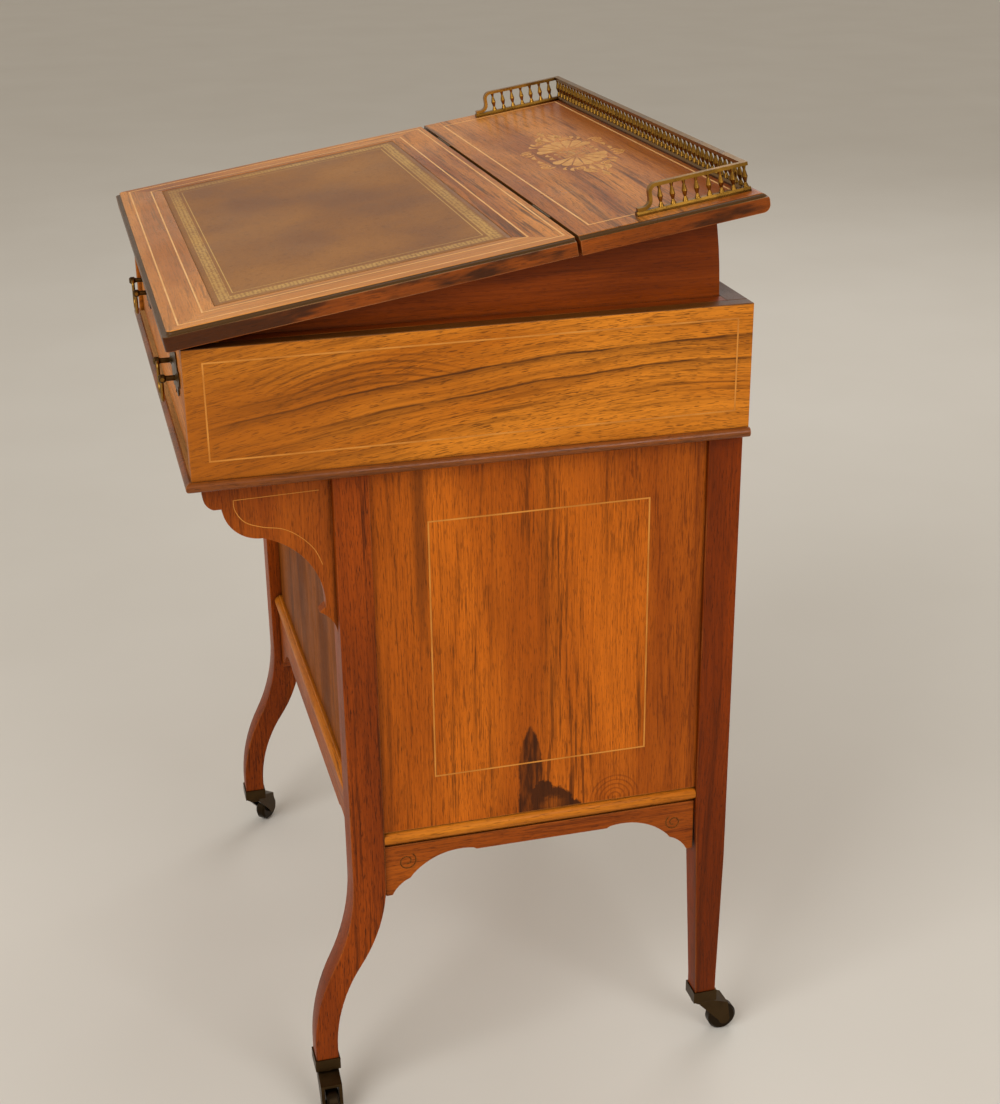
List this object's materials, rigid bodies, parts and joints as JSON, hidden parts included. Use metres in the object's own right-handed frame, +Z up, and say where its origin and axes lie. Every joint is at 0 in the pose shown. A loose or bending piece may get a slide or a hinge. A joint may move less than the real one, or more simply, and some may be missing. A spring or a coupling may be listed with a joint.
{
  "type": "davenport desk",
  "caption": "Davenport writing desk with a hinged leather-lined slope that rises, a brass gallery, inlaid panels, drawers and casters.",
  "frame": {"origin": "on the floor, under the middle of the box", "axes": "+X to the right of the person sitting at the desk, +Y to the back, +Z up"},
  "size_m": [0.5501, 0.4846, 0.8273],
  "materials": {
    "rosewood": "satin",
    "top_veneer": "gloss",
    "lining_wood": "satin",
    "leather": "satin",
    "gallery_brass": "satin",
    "handle_brass": "satin",
    "caster_brass": "satin",
    "caster_wheel": "satin"
  },
  "bodies": {
    "carcase": {"box_sides": "rosewood", "box_back": "rosewood", "box_bottom": "lining_wood", "box_front_rail": "rosewood", "slope_guides": "lining_wood", "drawer_guides": "lining_wood", "well_floor": "lining_wood", "box_moulding": "rosewood", "front_leg_right": "rosewood", "front_leg_left": "rosewood", "rear_leg_right": "rosewood", "rear_leg_left": "rosewood", "side_panel": "rosewood", "front_panel": "rosewood", "back_panel": "lining_wood", "bottom_rails": "rosewood", "aprons": "rosewood", "scroll_brackets": "rosewood", "dust_boards": "lining_wood", "caster_cups": "caster_brass", "slope_hinge_butts": "handle_brass", "stay_bolt": "handle_brass"},
    "slope": {"riser_sides": "rosewood", "riser_back": "rosewood", "riser_front_rail": "rosewood", "shelf": "top_veneer", "gallery_base_rail": "gallery_brass", "gallery_spindles": "gallery_brass", "gallery_top_rail": "gallery_brass", "slope_hinge_straps": "handle_brass", "lid_hinge_butts": "handle_brass"},
    "lid": {"writing_lid": "top_veneer", "leather": "leather", "lid_hinge_flaps": "handle_brass"},
    "stay_nut": {"stay_nut": "handle_brass"},
    "front_drawer": {"front_drawer_face": "rosewood", "front_drawer_tray": "lining_wood", "front_drawer_mounts": "handle_brass"},
    "front_bail_right": {"front_bail_right": "handle_brass"},
    "front_bail_left": {"front_bail_left": "handle_brass"},
    "side_drawer_1": {"side_drawer_1": "rosewood", "side_drawer_1_mount": "handle_brass"},
    "side_bail_1": {"side_drawer_1_bail": "handle_brass"},
    "side_drawer_2": {"side_drawer_2": "rosewood", "side_drawer_2_mount": "handle_brass"},
    "side_bail_2": {"side_drawer_2_bail": "handle_brass"},
    "side_drawer_3": {"side_drawer_3": "rosewood", "side_drawer_3_mount": "handle_brass"},
    "side_bail_3": {"side_drawer_3_bail": "handle_brass"},
    "side_drawer_4": {"side_drawer_4": "rosewood", "side_drawer_4_mount": "handle_brass"},
    "side_bail_4": {"side_drawer_4_bail": "handle_brass"},
    "caster_front_right": {"caster_fork_front_right": "caster_brass"},
    "wheel_front_right": {"caster_wheel_front_right": "caster_wheel"},
    "caster_front_left": {"caster_fork_front_left": "caster_brass"},
    "wheel_front_left": {"caster_wheel_front_left": "caster_wheel"},
    "caster_rear_right": {"caster_fork_rear_right": "caster_brass"},
    "wheel_rear_right": {"caster_wheel_rear_right": "caster_wheel"},
    "caster_rear_left": {"caster_fork_rear_left": "caster_brass"},
    "wheel_rear_left": {"caster_wheel_rear_left": "caster_wheel"}
  },
  "joints": [
    {"name": "slope_tilt", "type": "hinge", "parent": "carcase", "child": "slope", "pos_m": [0, -0.2273, 0.7173], "axis": [1, 0, 0], "range_deg": [-8.9, 0]},
    {"name": "lid_open", "type": "hinge", "parent": "slope", "child": "lid", "pos_m": [0, 0.07705, 0.78075], "axis": [-1, 0, 0], "range_deg": [0, 95]},
    {"name": "stay_nut_turn", "type": "hinge", "parent": "carcase", "child": "stay_nut", "pos_m": [-0.2251, 0.13, 0.712], "axis": [1, 0, 0], "continuous": true},
    {"name": "front_drawer_slide", "type": "slide", "parent": "carcase", "child": "front_drawer", "axis": [0, -1, 0], "range_m": [0, 0.25]},
    {"name": "front_bail_right_lift", "type": "hinge", "parent": "front_drawer", "child": "front_bail_right", "pos_m": [0.14, -0.234, 0.668], "axis": [-1, 0, 0], "range_deg": [0, 95]},
    {"name": "front_bail_left_lift", "type": "hinge", "parent": "front_drawer", "child": "front_bail_left", "pos_m": [-0.14, -0.234, 0.668], "axis": [-1, 0, 0], "range_deg": [0, 95]},
    {"name": "side_drawer_1_slide", "type": "slide", "parent": "carcase", "child": "side_drawer_1", "axis": [-1, 0, 0], "range_m": [0, 0.3]},
    {"name": "side_bail_1_lift", "type": "hinge", "parent": "side_drawer_1", "child": "side_bail_1", "pos_m": [-0.262, 0.054, 0.32519], "axis": [0, 1, 0], "range_deg": [0, 95]},
    {"name": "side_drawer_2_slide", "type": "slide", "parent": "carcase", "child": "side_drawer_2", "axis": [-1, 0, 0], "range_m": [0, 0.3]},
    {"name": "side_bail_2_lift", "type": "hinge", "parent": "side_drawer_2", "child": "side_bail_2", "pos_m": [-0.262, 0.054, 0.41806], "axis": [0, 1, 0], "range_deg": [0, 95]},
    {"name": "side_drawer_3_slide", "type": "slide", "parent": "carcase", "child": "side_drawer_3", "axis": [-1, 0, 0], "range_m": [0, 0.3]},
    {"name": "side_bail_3_lift", "type": "hinge", "parent": "side_drawer_3", "child": "side_bail_3", "pos_m": [-0.262, 0.054, 0.50294], "axis": [0, 1, 0], "range_deg": [0, 95]},
    {"name": "side_drawer_4_slide", "type": "slide", "parent": "carcase", "child": "side_drawer_4", "axis": [-1, 0, 0], "range_m": [0, 0.3]},
    {"name": "side_bail_4_lift", "type": "hinge", "parent": "side_drawer_4", "child": "side_bail_4", "pos_m": [-0.262, 0.054, 0.57981], "axis": [0, 1, 0], "range_deg": [0, 95]},
    {"name": "swivel_front_right", "type": "hinge", "parent": "carcase", "child": "caster_front_right", "pos_m": [0.243, -0.1475, 0.0435], "axis": [0, 0, 1], "continuous": true},
    {"name": "roll_front_right", "type": "hinge", "parent": "caster_front_right", "child": "wheel_front_right", "pos_m": [0.264, -0.1475, 0.014], "axis": [0, -1, 0], "continuous": true},
    {"name": "swivel_front_left", "type": "hinge", "parent": "carcase", "child": "caster_front_left", "pos_m": [-0.243, -0.1475, 0.0435], "axis": [0, 0, 1], "continuous": true},
    {"name": "roll_front_left", "type": "hinge", "parent": "caster_front_left", "child": "wheel_front_left", "pos_m": [-0.25909, -0.134, 0.014], "axis": [0.6428, 0.766, 0], "continuous": true},
    {"name": "swivel_rear_right", "type": "hinge", "parent": "carcase", "child": "caster_rear_right", "pos_m": [0.243, 0.212, 0.0435], "axis": [0, 0, 1], "continuous": true},
    {"name": "roll_rear_right", "type": "hinge", "parent": "caster_rear_right", "child": "wheel_rear_right", "pos_m": [0.2419, 0.23297, 0.014], "axis": [0.9986, 0.0523, 0], "continuous": true},
    {"name": "swivel_rear_left", "type": "hinge", "parent": "carcase", "child": "caster_rear_left", "pos_m": [-0.243, 0.212, 0.0435], "axis": [0, 0, 1], "continuous": true},
    {"name": "roll_rear_left", "type": "hinge", "parent": "caster_rear_left", "child": "wheel_rear_left", "pos_m": [-0.2565, 0.22809, 0.014], "axis": [0.766, 0.6428, 0], "continuous": true}
  ]
}
